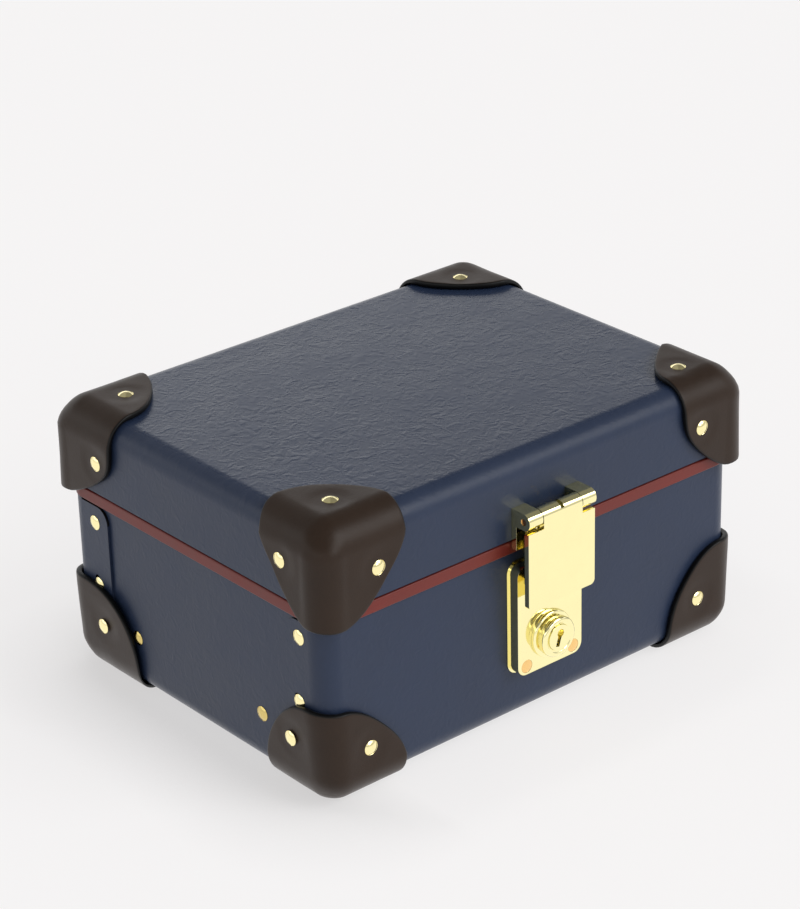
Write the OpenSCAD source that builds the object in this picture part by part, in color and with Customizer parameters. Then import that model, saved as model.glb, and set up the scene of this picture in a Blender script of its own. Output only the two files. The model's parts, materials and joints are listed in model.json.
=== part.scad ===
// Small jewellery case of navy fibreboard with moulded leather corners, an oxblood
// rim band and a brass hasp lock. The case opens on two butt hinges at the back.
// All sizes are in millimetres. Z is up, the lock faces -Y, and Z = 0 is the surface
// that the leather feet stand on.

/* [Case] */
// Width over the bare side boards of the base
base_w = 200; // [190:2:230]
// Depth over the front and back panels of the base
base_d = 152; // [144:2:180]
// Height of the base walls, from the underside of the floor to the rim band
base_h = 70.4; // [69.6:0.2:77]
// Thickness of the base board
board_t = 2.2; // [2:0.1:2.6]
// Thickness of the front and back panels that wrap the corners
wrap_t = 1.1; // [0.9:0.1:1.3]
// Radius of the outer edges and corners of base and lid
edge_r = 8.5; // [8:0.1:8.8]
// Reach of a panel's flap along the side, from the outer face of its panel
flap_front = 20.8; // [20.8:0.1:24]
// Reach of the back panel's flap along the side
flap_back = 24.4; // [21:0.2:28]

/* [Rim band] */
// Height of the rim band
band_h = 5.1; // [4.5:0.1:5.4]
// How far the rim band stands out from the side boards
band_out = 1.4; // [1.2:0.1:1.5]

/* [Lid] */
// Outer height of the lid shell
lid_h = 31.2; // [30:0.2:36]
// How far the lid stands out from the base on every side
lid_over = 2; // [1.9:0.1:2.4]
// Thickness of the lid board
lid_t = 2.5; // [2.2:0.1:2.6]
// Gap between the rim band and the lower edge of the lid
lid_gap = 1.1; // [0.8:0.1:1.3]

/* [Leather corners] */
// Thickness of the moulded leather
leather_t = 2.4; // [2:0.1:2.6]
// Length of each lobe along its edge, from the box's outer planes
lobe_l = 36.5; // [35:0.5:38]
// Sum of the two distances that the slanting edge of a lobe keeps
lobe_sum = 51; // [49:0.5:53]
// Radius that rounds the lobes
lobe_r = 11; // [8:1:13]
// Distance of a rivet on the lid's walls from the upright edge
lid_rivet_across = 22.6; // [19:0.2:24]
// Distance of a rivet on the lid's walls from the top
lid_rivet_down = 16.8; // [16.5:0.1:19]
// Distance of a rivet on the lid's top from both walls
lid_rivet_top = 18.3; // [17:0.1:20]
// Distance of a rivet on the base's walls from the upright edge
base_rivet_across = 18.8; // [17.6:0.1:19]
// Distance of a rivet on the base's walls from the underside
base_rivet_up = 19.8; // [18.8:0.1:21]
// Distance of a rivet under a foot from both walls
foot_rivet_in = 18.8; // [17.6:0.1:19]

/* [Rivets] */
// Radius of the domed heads
head_r = 2.9; // [2.5:0.1:3.2]
// Height of the domed heads
head_h = 1.1; // [0.8:0.1:1.3]
// Radius of the shanks
shank_r = 1.4; // [1.2:0.1:1.5]
// Radius of the flat heads set into the lock case
flat_r = 2.6; // [2.2:0.1:2.8]

/* [Lock] */
// Place of the lock's centre line along the front
lock_x = 0.8; // [-4:0.2:4]
// Width of the lock case
lock_w = 31.8; // [31:0.2:34]
// Height of the lock case
lock_h = 44.8; // [44:0.2:46]
// Depth of the lock case
lock_t = 5.3; // [5:0.1:5.6]
// Height of the lower edge of the lock case above the floor's underside
lock_z = 21; // [20:0.2:21.4]
// Travel of the bolt
bolt_travel = 5.5; // [5:0.1:5.6]

/* [Hasp] */
// Width of the hasp plate
hasp_w = 32.6; // [31:0.2:34]
// Length of the hasp plate below its shoulders
hasp_l = 30.8; // [30:0.2:32]
// Thickness of the hasp plate
hasp_t = 2.2; // [2:0.1:2.4]
// Radius of the hasp's barrel
barrel_r = 3.3; // [3.1:0.1:3.4]
// Radius of the hasp pin
pin_r = 1.3; // [1.1:0.1:1.4]

/* [Hinges] */
// Distance of each hinge's middle from the middle of the case
hinge_x = 42; // [36:1:44]
// Width of each hinge
hinge_w = 28; // [25:0.5:30]
// Radius of the hinge barrels
knuckle_r = 2.2; // [2:0.1:2.3]
// Radius of the hinge pins
hinge_pin_r = 1.1; // [1:0.1:1.2]
// Thickness of the hinge leaves
leaf_t = 1.1; // [0.9:0.1:1.2]

/* [Inside] */
// Thickness of the inner frame
frame_t = 2.2; // [2:0.1:2.4]
// How far the inner frame stands above the rim band
frame_up = 6; // [4:0.5:7]
// Thickness of the cloth lining in the base
lining_t = 1; // [0.95:0.05:1.2]
// Thickness of the lined dividers
divider_t = 3; // [2.5:0.1:3.5]

/* [Hidden] */
$fn = 64;

// Turn of the plug from open to locked
plug_turn = 90;
// Number of ring rolls
rolls = 5;
// Small gap that parts lying on each other keep
gap = 0.05;
// Radial clearance of a running fit
run = 0.05;
// Clearance between moving parts side by side
free = 0.3;
eps = 1;

// Outer planes of the base, over its panels
outer_w = base_w + 2 * wrap_t;
tray_d = base_d - 2 * wrap_t;
tray_r = edge_r - wrap_t;
band_top = base_h + band_h;

// Lid
lid_w = base_w + 2 * lid_over;
lid_d = base_d + 2 * lid_over;
lid_z = band_top + lid_gap;
lid_top = lid_z + lid_h;

// Leather, and its rivets' distances from the corner's planes on the face that looks
// up or down, the face that looks along x and the one that looks along y
skin_r = edge_r + gap;
leather_out = gap + leather_t;
tip_r = edge_r + 1.9 * leather_t;
lid_spots = [[lid_rivet_top, lid_rivet_top], [lid_rivet_across, lid_rivet_down],
    [lid_rivet_down, lid_rivet_across]];
base_spots = [[foot_rivet_in, foot_rivet_in], [base_rivet_across, base_rivet_up],
    [base_rivet_up, base_rivet_across]];

// Hasp pivot, front of its plate and the levels on it
pivot_y = -(base_d / 2 + 8.5);
pivot_z = lid_z + 9.4;
plate_front = pivot_y - barrel_r;
plate_back = plate_front + hasp_t;
shoulder_z = pivot_z - barrel_r - 0.5;
plate_z = shoulder_z - hasp_l;
bracket_x = lock_x + 0.7;
neck_w = 19;
arm_w = 6.6;
bracket_t = 2.6;
tongue_w = 8.4;
tongue_t = 2.5;
tongue_z = plate_z + 3.3;
tongue_tip = -(base_d / 2 + 1);

// Lock cylinder, plug and bolt
key_z = lock_z + 13.2;
cylinder_out = 5.3;
ring_r = 9.4;
drum_r = 8;
plug_r = 5.1;
cam_r = bolt_travel / (2 * sin(plug_turn / 2));
cavity_w = 16;
cavity_z = key_z - 7;
cavity_top = key_z + 18.6;
pocket_z = tongue_z - 2.1;
pocket_w = tongue_w + 1.2;
finger_w = 4.4;
flat_t = 0.8;
back_plate_t = 1.2;
lock_back = wrap_t + board_t + gap;

// Hinge pivot
hinge_y = lid_d / 2 + 2.6;
hinge_z = base_h - 1.2;
leaf_l = 20;
knuckles = 5;
knuckle_w = hinge_w / knuckles;

// Inside of the base
frame_w = base_w - 2 * board_t - 2 * gap;
frame_d = tray_d - 2 * board_t - 2 * gap;
frame_r = tray_r - board_t;
frame_top = band_top + frame_up;
room_w = frame_w - 2 * frame_t - 2 * lining_t;
room_d = frame_d - 2 * frame_t - 2 * lining_t;
floor_z = board_t + gap + lining_t;
long_y = 6;
front_x = -34;
back_x = 20;
divider_top = base_h - 1.4;
shelf_top = 52;
shelf_t = 2.4;
roll_gap = 0.4;
shelf_x0 = front_x + divider_t / 2 + gap;
shelf_w = room_w / 2 - gap - shelf_x0;
shelf_d = long_y - divider_t / 2 + room_d / 2 - 2 * gap;
roll_pitch = shelf_d / rolls;
roll_r = (roll_pitch - roll_gap) / 2;

// Inside of the lid
lid_lining_t = 0.8;
pad_t = 4;
pad_w = 176;
pad_d = 128;
glass_w = 118;
glass_d = 78;
glass_t = 2;
glass_rim = 7;
pad_z = lid_top - lid_t - 2 * gap - lid_lining_t - pad_t - gap;

// Place of the case in its own frame: the origin is under the middle of its whole outline
front_reach = -plate_front;
back_reach = hinge_y + knuckle_r;

module stand() {
    translate([0, (front_reach - back_reach) / 2, leather_out]) children();
}

// ---------- shapes ----------

module quadrant(r) {
    intersection() {
        circle(r);
        square(r);
    }
}

module quarter_ring(r, t) {
    difference() {
        quadrant(r + t);
        circle(r);
    }
}

module rounded_rect(w, d, r) {
    square([w - 2 * r, d], center = true);
    square([w, d - 2 * r], center = true);
    for (x = [-1, 1], y = [-1, 1])
        translate([x * (w / 2 - r), y * (d / 2 - r)]) circle(r);
}

// A solid with rounded upright corners and rounded top edges
module round_box(w, d, h, r) {
    flat_w = w - 2 * r;
    flat_d = d - 2 * r;
    linear_extrude(h - r) rounded_rect(w, d, r);
    translate([0, 0, h - r]) {
        linear_extrude(r) square([flat_w, flat_d], center = true);
        for (a = [0, 180]) rotate(a) {
            translate([-flat_w / 2, flat_d / 2, 0])
                rotate([90, 0, 90]) linear_extrude(flat_w) quadrant(r);
            translate([flat_w / 2, flat_d / 2, 0])
                rotate([90, 0, 0]) linear_extrude(flat_d) quadrant(r);
        }
        for (x = [0, 1], y = [0, 1])
            mirror([x, 0, 0]) mirror([0, y, 0])
                translate([flat_w / 2, flat_d / 2, 0])
                    rotate_extrude(angle = 90) quadrant(r);
    }
}

// A cover: a round_box hollowed from below
module cover(w, d, h, r, t) {
    difference() {
        round_box(w, d, h, r);
        translate([0, 0, -eps]) round_box(w - 2 * t, d - 2 * t, h - t + eps, r - t);
    }
}

// A tub: a cover turned over, standing on z = 0
module tub(w, d, h, r, t) {
    translate([0, 0, h]) mirror([0, 0, 1]) cover(w, d, h, r, t);
}

// Places a child made for the +x +y +z corner of a box at any of its corners
module at_corner(w, d, z, x, y, up) {
    translate([x * (w / 2 - edge_r), y * (d / 2 - edge_r), z - up * edge_r])
        mirror([x < 0 ? 1 : 0, 0, 0])
            mirror([0, y < 0 ? 1 : 0, 0])
                mirror([0, 0, up < 0 ? 1 : 0]) children();
}

module at_lid_corner(x, y) {
    at_corner(lid_w, lid_d, lid_top, x, y, 1) children();
}

module at_base_corner(x, y) {
    at_corner(outer_w, base_d, 0, x, y, -1) children();
}

// The three faces that meet at a corner
module on_faces() {
    for (i = [0, 1, 2]) rotate(120 * i, [1, 1, 1]) children();
}

module along_x(x, length) {
    translate([x, 0, 0]) rotate([90, 0, 90]) linear_extrude(length) children();
}

// A flat shape drawn in x and z, standing out from the base's front by off
module on_front(off, t) {
    translate([lock_x, -(base_d / 2 + off), 0]) rotate([90, 0, 0]) linear_extrude(t) children();
}

// ---------- rivets ----------

// Domed head above z = 0 and a shank below it
module rivet(grip) {
    dome_r = (head_r * head_r + head_h * head_h) / (2 * head_h);
    rotate_extrude() {
        translate([0, -grip]) square([shank_r, grip]);
        intersection() {
            translate([0, head_h - dome_r]) circle(dome_r);
            square([head_r, head_h]);
        }
    }
}

module rivet_hole(depth = 12) {
    translate([0, 0, -depth]) cylinder(r = shank_r + gap, h = depth + eps);
}

// The rivets of a leather corner, on the faces asked for
module at_spots(spots, faces = [0, 1, 2]) {
    for (i = faces) rotate(120 * i, [1, 1, 1])
        translate([edge_r - spots[i][0], edge_r - spots[i][1], edge_r + leather_out]) children();
}

// Two rivets in each flap, above its leather foot
module at_flap_rivets() {
    inset = 15.4;
    for (x = [-1, 1], y = [-1, 1], down = [7.3, 31.7])
        translate([x * outer_w / 2, y * (base_d / 2 - inset), base_h - down])
            rotate([0, x * 90, 0]) children();
}

// Two low rivets in each side board
module at_side_rivets() {
    inset = 38.3;
    height = 21.9;
    for (x = [-1, 1], y = [-1, 1])
        translate([x * base_w / 2, y * (base_d / 2 - inset), height]) rotate([0, x * 90, 0]) children();
}

// Three rivets in each hinge leaf, the outer two further from the pin
module at_hinge_rivets(wall, middle_z, way) {
    for (h = [-1, 1], x = [-9, 0, 9])
        translate([h * hinge_x + x, wall + gap + leaf_t, middle_z + way * abs(x) / 3])
            rotate([-90, 0, 0]) children();
}

module at_base_hinge_rivets() {
    at_hinge_rivets(base_d / 2, hinge_z - 11.5, -1) children();
}

module at_lid_hinge_rivets() {
    at_hinge_rivets(lid_d / 2, hinge_z + 12, 1) children();
}

module at_bracket_rivets() {
    height = lid_z + 2.6;
    for (x = [-9, 9])
        translate([bracket_x + x, -lid_d / 2 - gap - bracket_t, height])
            rotate([90, 0, 0]) children();
}

// The lower two stand further apart, the upper two hide behind the hasp
module at_lock_rivets() {
    low = lock_z + 3.4;
    high = lock_z + lock_h - 4;
    for (side = [-1, 1], spot = [[11.6, low], [9.2, high]])
        translate([lock_x + side * spot[0], -base_d / 2 - gap - lock_t, spot[1]])
            rotate([90, 0, 0]) children();
}

// ---------- leather corner ----------

function turned(p, a) = [p[0] * cos(a) - p[1] * sin(a), p[0] * sin(a) + p[1] * cos(a)];

// One lobe seen from outside, measured from the corner's centre inwards
module lobe() {
    reach = lobe_l - edge_r;
    slant = lobe_sum - lobe_l - edge_r;
    intersection() {
        square(reach);
        offset(lobe_r, $fn = 40) offset(-lobe_r)
            polygon([for (a = [0:90:270], p = [[reach, slant], [slant, reach]]) turned(p, a)]);
    }
}

// The outside that the moulding gives the leather: rounder than the box under it
module moulded_outside() {
    side = 2 * lobe_l;
    plane = skin_r + leather_t;
    translate([plane - side / 2, plane - side / 2, plane - side]) round_box(side, side, side, tip_r);
}

// Moulded leather over a corner: three lobes, three rolled edges and a round tip.
// Its centre is the centre of the box's rounded corner, and it covers the +x +y +z side.
module leather_corner(spots) {
    color([0.25, 0.21, 0.19]) difference() {
        intersection() {
            union() {
                rotate_extrude(angle = 90) quarter_ring(skin_r, leather_t);
                on_faces() {
                    translate([0, 0, edge_r - lobe_l]) linear_extrude(lobe_l - edge_r)
                        quarter_ring(skin_r, leather_t);
                    translate([0, 0, skin_r]) linear_extrude(leather_t) rotate(180) lobe();
                }
            }
            moulded_outside();
        }
        at_spots(spots) rivet_hole();
    }
}

// ---------- base ----------

module board_color() {
    color([0.27, 0.30, 0.35]) children();
}

module brass_color() {
    color([0.93, 0.84, 0.55]) children();
}

module lining_color() {
    color([0.42, 0.16, 0.15]) children();
}

// The opening through the front wall behind the lock
module lock_opening() {
    on_front(-9, 12) centred_slot(cavity_w, cavity_z, cavity_top);
}

// Every rivet hole that the base walls carry
module base_holes() {
    for (x = [-1, 1], y = [-1, 1]) at_base_corner(x, y) at_spots(base_spots) rivet_hole();
    at_flap_rivets() rivet_hole();
    at_side_rivets() rivet_hole();
    at_base_hinge_rivets() rivet_hole();
    at_lock_rivets() rivet_hole();
}

module base_tray() {
    board_color() stand() difference() {
        tub(base_w, tray_d, base_h, tray_r, board_t);
        base_holes();
        lock_opening();
    }
}

// The skin that both panels are cut from. It is pared away round the tray's lower edge.
module panel_skin() {
    pared_z = 1.8;
    difference() {
        translate([0, 0, base_h]) mirror([0, 0, 1]) round_box(outer_w, base_d, base_h, edge_r);
        translate([0, 0, base_h + eps]) mirror([0, 0, 1])
            round_box(base_w + 2 * gap, tray_d + 2 * gap, base_h + gap + eps, tray_r + gap);
        translate([-base_w, -base_d, -eps]) cube([2 * base_w, 2 * base_d, pared_z + eps]);
    }
}

// A flap's top is cut lower than the wall, with a rounded corner
module flap_trim(reach) {
    drop = 0.6;
    round_r = 6;
    cut = 8;
    for (x = [-1, 1]) translate([(x * base_w - cut) / 2, 0, 0]) rotate([90, 0, 90]) linear_extrude(cut)
        difference() {
            translate([-reach - eps, base_h - drop - round_r])
                square([reach + eps - edge_r, drop + round_r + eps]);
            translate([round_r - reach, base_h - drop - 2 * round_r]) square([reach, 2 * round_r]);
            translate([round_r - reach, base_h - drop - round_r]) circle(round_r);
        }
}

// The panel of the back: wall and two flaps of the given reach
module wrap_panel(reach) {
    difference() {
        intersection() {
            panel_skin();
            translate([-base_w, base_d / 2 - reach, -base_h])
                cube([2 * base_w, reach + eps, 3 * base_h]);
        }
        translate([0, base_d / 2, 0]) flap_trim(reach);
    }
}

module front_panel() {
    board_color() stand() difference() {
        mirror([0, 1, 0]) wrap_panel(flap_front);
        base_holes();
        lock_opening();
    }
}

module back_panel() {
    board_color() stand() difference() {
        wrap_panel(flap_back);
        base_holes();
    }
}

// The band is notched behind the hasp, where the tongue passes
module rim_band() {
    color([0.46, 0.25, 0.23]) stand() translate([0, 0, base_h + gap]) linear_extrude(band_h - gap)
        difference() {
            rounded_rect(base_w + 2 * band_out, base_d + 2 * band_out, edge_r + band_out);
            rounded_rect(frame_w + 2 * gap, frame_d + 2 * gap, frame_r + gap);
            translate([lock_x - pocket_w / 2, -base_d / 2 - 2 * band_out])
                square([pocket_w, 2 * band_out]);
        }
}

// It starts above the tray's rounded lower edge
module inner_frame() {
    color([0.20, 0.21, 0.24]) stand() difference() {
        translate([0, 0, tray_r]) linear_extrude(frame_top - tray_r) difference() {
            rounded_rect(frame_w, frame_d, frame_r);
            rounded_rect(frame_w - 2 * frame_t, frame_d - 2 * frame_t, frame_r - frame_t);
        }
        on_front(-9, 9) translate([-lock_w / 2 - free, lock_z - free])
            square([lock_w + 2 * free, lock_h + 2 * free]);
    }
}

module base_corner(x, y) {
    stand() at_base_corner(x, y) leather_corner(base_spots);
}
module base_corner_front_left() base_corner(-1, -1);
module base_corner_front_right() base_corner(1, -1);
module base_corner_back_left() base_corner(-1, 1);
module base_corner_back_right() base_corner(1, 1);

module base_corner_rivets() {
    brass_color() stand() for (x = [-1, 1], y = [-1, 1])
        at_base_corner(x, y) at_spots(base_spots, [1, 2]) rivet(leather_out + wrap_t + board_t);
}

// Flat rivets under the feet, their heads set into the leather
module foot_rivets() {
    grip = leather_out + board_t;
    brass_color() stand() for (x = [-1, 1], y = [-1, 1])
        at_base_corner(x, y) at_spots(base_spots, [0])
            translate([0, 0, -grip]) cylinder(r = shank_r, h = grip);
}

module flap_rivets() {
    brass_color() stand() at_flap_rivets() rivet(wrap_t + board_t);
}

module side_rivets() {
    color([0.80, 0.65, 0.30]) stand() at_side_rivets() rivet(board_t);
}

// ---------- lock ----------

module centred_slot(w, z0, z1) {
    translate([-w / 2, z0]) square([w, z1 - z0]);
}

// The case's outline in x and z, grown on every side
module lock_outline(grow = 0) {
    corner_r = 4;
    translate([0, lock_z + lock_h / 2])
        rounded_rect(lock_w + 2 * grow, lock_h + 2 * grow, corner_r + grow);
}

// Hollow for the bolt, and above it a pocket, open at the top, for the hasp's tongue
module lock_case() {
    flange = 0.8;
    flange_t = 0.5;
    front_wall = 0.8;
    pocket_back = 0.5;
    hollow = lock_t - front_wall + eps;
    brass_color() stand() difference() {
        union() {
            on_front(gap, lock_t) lock_outline();
            on_front(gap, flange_t) lock_outline(flange);
        }
        on_front(-eps, hollow) centred_slot(cavity_w, cavity_z, cavity_top);
        on_front(-eps, hollow) centred_slot(finger_w + 2 * free, cavity_z, pocket_z + eps);
        on_front(pocket_back, lock_t + eps) centred_slot(pocket_w, pocket_z, lock_z + lock_h + 2 * eps);
        on_front(-eps, lock_t + 3 * eps) translate([0, key_z]) circle(plug_r + free);
        at_lock_rivets() {
            rivet_hole();
            translate([0, 0, -flat_t]) cylinder(r = flat_r + gap, h = flat_t + eps);
        }
    }
}

module lock_back_plate() {
    color([0.75, 0.70, 0.55]) stand() difference() {
        on_front(-lock_back - back_plate_t, back_plate_t) lock_outline();
        at_lock_rivets() rivet_hole(20);
    }
}

// Their flat heads lie flush with the lock's face
module lock_rivets() {
    grip = lock_t + gap + lock_back + back_plate_t;
    color([0.90, 0.78, 0.50]) stand() at_lock_rivets() translate([0, 0, -grip]) {
        cylinder(r = shank_r, h = grip - flat_t);
        translate([0, 0, grip - flat_t]) cylinder(r = flat_r, h = flat_t);
    }
}

// Stepped ring with a bevelled drum that stands out in front of it
module lock_cylinder() {
    off = lock_t + gap;
    ring_t = 1.6;
    neck_t = 0.8;
    bevel = 0.5;
    brass_color() stand() translate([lock_x, -base_d / 2 - off - gap, key_z]) rotate([90, 0, 0])
        rotate_extrude() polygon([[plug_r + run, 0], [ring_r, 0], [ring_r, ring_t - bevel],
            [ring_r - bevel, ring_t], [drum_r - bevel, ring_t], [drum_r - bevel, ring_t + neck_t],
            [drum_r, ring_t + neck_t], [drum_r, cylinder_out - bevel],
            [drum_r - bevel, cylinder_out], [plug_r + run, cylinder_out]]);
}

module keyhole() {
    lean = 17;
    rotate(-lean) {
        translate([0, 1.7]) circle(1.55);
        translate([-0.85, -3.6]) square([1.7, 5.3]);
    }
}

// Its cam pin, on the inner end, lifts the bolt as the plug turns
module lock_plug() {
    face = lock_t + cylinder_out;
    tail = 1.2;
    pin_end = -0.6;
    pin = 0.8;
    key_depth = 3.5;
    brass_color() stand() difference() {
        union() {
            on_front(tail, face - tail) translate([0, key_z]) circle(plug_r);
            on_front(pin_end, tail - pin_end) translate([0, key_z])
                translate(-cam_r * [cos(plug_turn / 2), sin(plug_turn / 2)]) circle(pin);
        }
        on_front(face - key_depth, key_depth + eps) translate([0, key_z]) keyhole();
    }
}

// A slotted plate behind the plug's cam pin, a step and a finger that passes the tongue's eye
module lock_bolt() {
    slot_h = 2.1;
    back = -0.8;
    plate_w = cavity_w - 0.4;
    low_z = key_z - 5.5;
    step_z = key_z + 8.5;
    step_h = 4;
    color([0.78, 0.74, 0.62]) stand() {
        difference() {
            on_front(back, 1.7) centred_slot(plate_w, low_z, step_z);
            on_front(back - eps, 4) translate([-cam_r - 1.2, key_z - (bolt_travel + slot_h) / 2])
                square([cam_r + 0.2, slot_h]);
        }
        on_front(back, 4) centred_slot(plate_w, step_z, step_z + step_h);
        on_front(2, 1.2) centred_slot(finger_w, step_z + step_h, pocket_z - 0.2);
    }
}

// ---------- hasp ----------

module hinge_line(y, z) {
    translate([0, y, z]) rotate([0, 90, 0]) children();
}

// One arm of the bracket in y and z
module arm_side() {
    wall = -lid_d / 2 - gap;
    translate([pivot_y, pivot_z - barrel_r]) square([wall - pivot_y, 2 * barrel_r]);
    translate([pivot_y, pivot_z]) circle(barrel_r);
}

module hasp_bracket() {
    wall = -lid_d / 2 - gap;
    arm_x = neck_w / 2 + free;
    low = lid_z - 3.3;
    brass_color() stand() difference() {
        union() {
            for (x = [bracket_x + arm_x, bracket_x - arm_x - arm_w]) along_x(x, arm_w) arm_side();
            translate([bracket_x - arm_x - arm_w, wall - bracket_t, low])
                cube([2 * (arm_x + arm_w), bracket_t, pivot_z - barrel_r - low]);
        }
        hinge_line(pivot_y, pivot_z) cylinder(r = pin_r + run / 2, h = 3 * lock_w, center = true);
        at_bracket_rivets() rivet_hole();
    }
}

module bracket_rivets() {
    brass_color() stand() at_bracket_rivets() rivet(bracket_t + gap + lid_t);
}

module hasp_pin() {
    length = neck_w + 2 * (free + arm_w) - 0.6;
    color([0.72, 0.45, 0.30]) stand() translate([bracket_x, 0, 0]) hinge_line(pivot_y, pivot_z)
        cylinder(r = pin_r, h = length, center = true);
}

// The plate's flat outline in x and z
module hasp_outline() {
    corner = 2;
    translate([0, plate_z + hasp_l / 2]) difference() {
        square([hasp_w, hasp_l], center = true);
        for (x = [0, 1]) mirror([x, 0]) translate([hasp_w / 2 - corner, corner - hasp_l / 2])
            difference() {
                translate([0, -corner - eps]) square(corner + eps);
                circle(corner);
            }
    }
}

// The rolled neck in y and z, from the plate's shoulders round the pin
module neck_side() {
    translate([plate_front, shoulder_z]) square([hasp_t, pivot_z - shoulder_z]);
    translate([pivot_y, pivot_z]) circle(barrel_r);
}

module hasp_plate() {
    slot = 1.6;
    slot_z = pivot_z + 1.4;
    eye_w = finger_w + 0.6;
    brass_color() stand() difference() {
        union() {
            on_front(-plate_back - base_d / 2, hasp_t) hasp_outline();
            along_x(bracket_x - neck_w / 2, neck_w) neck_side();
            translate([lock_x - tongue_w / 2, plate_back, tongue_z])
                cube([tongue_w, tongue_tip - plate_back, tongue_t]);
        }
        hinge_line(pivot_y, pivot_z) cylinder(r = pin_r + run, h = 3 * lock_w, center = true);
        translate([bracket_x - slot / 2, plate_front - eps, slot_z])
            cube([slot, 2 * barrel_r + 2 * eps, barrel_r]);
        translate([lock_x - eye_w / 2, -(base_d / 2 + 3.5), tongue_z - eps])
            cube([eye_w, 1.7, tongue_t + 2 * eps]);
    }
}

// ---------- hinges ----------

// Knuckles first, first + 2 and so on of a hinge whose middle is at x
module knuckle_row(x, first) {
    for (i = [first:2:knuckles - 1])
        along_x(x - hinge_w / 2 + i * knuckle_w + gap, knuckle_w - 2 * gap) children();
}

module hinge_bore() {
    hinge_line(hinge_y, hinge_z) cylinder(r = hinge_pin_r + run, h = 4 * base_w, center = true);
}

module base_hinge_leaf(x) {
    wall = base_d / 2 + gap;
    brass_color() stand() difference() {
        union() {
            translate([x - hinge_w / 2, wall, hinge_z - leaf_l]) cube([hinge_w, leaf_t, leaf_l - 6]);
            knuckle_row(x, 0) {
                polygon([[wall, hinge_z - 6], [wall, hinge_z], [hinge_y, hinge_z],
                    [hinge_y, hinge_z - knuckle_r], [wall + leaf_t, hinge_z - 6]]);
                translate([hinge_y, hinge_z]) circle(knuckle_r);
            }
        }
        hinge_bore();
        at_base_hinge_rivets() rivet_hole();
    }
}

module lid_hinge_leaf(x) {
    wall = lid_d / 2 + gap;
    brass_color() stand() difference() {
        union() {
            translate([x - hinge_w / 2, wall, hinge_z + 6]) cube([hinge_w, leaf_t, leaf_l - 6]);
            knuckle_row(x, 1) {
                polygon([[wall, hinge_z + 6], [wall, hinge_z], [hinge_y, hinge_z],
                    [hinge_y, hinge_z + knuckle_r], [wall + leaf_t, hinge_z + 6]]);
                translate([hinge_y, hinge_z]) circle(knuckle_r);
            }
        }
        hinge_bore();
        at_lid_hinge_rivets() rivet_hole();
    }
}

module hinge_pin(x) {
    color([0.72, 0.60, 0.35]) stand() translate([x, 0, 0]) hinge_line(hinge_y, hinge_z)
        cylinder(r = hinge_pin_r, h = hinge_w, center = true);
}

module base_hinge_leaf_left() base_hinge_leaf(-hinge_x);
module base_hinge_leaf_right() base_hinge_leaf(hinge_x);
module lid_hinge_leaf_left() lid_hinge_leaf(-hinge_x);
module lid_hinge_leaf_right() lid_hinge_leaf(hinge_x);
module hinge_pin_left() hinge_pin(-hinge_x);
module hinge_pin_right() hinge_pin(hinge_x);

module base_hinge_rivets() {
    brass_color() stand() at_base_hinge_rivets() rivet(leaf_t + gap + wrap_t + board_t);
}

module lid_hinge_rivets() {
    brass_color() stand() at_lid_hinge_rivets() rivet(leaf_t + gap + lid_t);
}

// ---------- inside of the base ----------

// The lining's outer edges are rounded, so that it beds in the rounded tray
module base_lining() {
    outer_r = min(tray_r - board_t - frame_t, 3.3 * lining_t);
    below_top = 2;
    grow = 2 * (lining_t - gap);
    height = frame_top - floor_z + lining_t - below_top;
    lining_color() stand() translate([0, 0, floor_z - lining_t]) difference() {
        translate([0, 0, height]) mirror([0, 0, 1])
            round_box(room_w + grow, room_d + grow, height, outer_r);
        translate([0, 0, lining_t]) linear_extrude(height) square([room_w, room_d], center = true);
    }
}

module divider(x0, y0, w, d) {
    lining_color() stand() translate([x0, y0, floor_z + gap]) cube([w, d, divider_top - floor_z - gap]);
}

module long_divider() {
    divider(-room_w / 2 + gap, long_y - divider_t / 2, room_w - 2 * gap, divider_t);
}

module front_divider() {
    divider(front_x - divider_t / 2, -room_d / 2 + gap, divider_t,
        room_d / 2 + long_y - divider_t / 2 - 2 * gap);
}

module back_divider() {
    divider(back_x - divider_t / 2, long_y + divider_t / 2 + gap, divider_t,
        room_d / 2 - long_y - divider_t / 2 - 2 * gap);
}

// A raised floor on two legs that carries the ring rolls
module ring_shelf() {
    lining_color() stand() translate([shelf_x0, -room_d / 2 + gap, floor_z + gap]) difference() {
        cube([shelf_w, shelf_d, shelf_top - floor_z - gap]);
        translate([-eps, shelf_t, -eps])
            cube([shelf_w + 2 * eps, shelf_d - 2 * shelf_t, shelf_top - floor_z - shelf_t]);
    }
}

module ring_roll(i) {
    lining_color() stand()
        translate([shelf_x0 + roll_gap, -room_d / 2 + gap + roll_pitch * (i + 0.5), shelf_top + roll_r + gap])
            rotate([0, 90, 0]) cylinder(r = roll_r, h = shelf_w - 2 * roll_gap);
}

module ring_roll_1() ring_roll(0);
module ring_roll_2() ring_roll(1);
module ring_roll_3() ring_roll(2);
module ring_roll_4() ring_roll(3);
module ring_roll_5() ring_roll(4);

// ---------- lid ----------

module lid_shell() {
    board_color() stand() difference() {
        translate([0, 0, lid_z]) cover(lid_w, lid_d, lid_h, edge_r, lid_t);
        for (x = [-1, 1], y = [-1, 1]) at_lid_corner(x, y) at_spots(lid_spots) rivet_hole();
        at_lid_hinge_rivets() rivet_hole();
        at_bracket_rivets() rivet_hole();
    }
}

module lid_corner(x, y) {
    stand() at_lid_corner(x, y) leather_corner(lid_spots);
}
module lid_corner_front_left() lid_corner(-1, -1);
module lid_corner_front_right() lid_corner(1, -1);
module lid_corner_back_left() lid_corner(-1, 1);
module lid_corner_back_right() lid_corner(1, 1);

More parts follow.
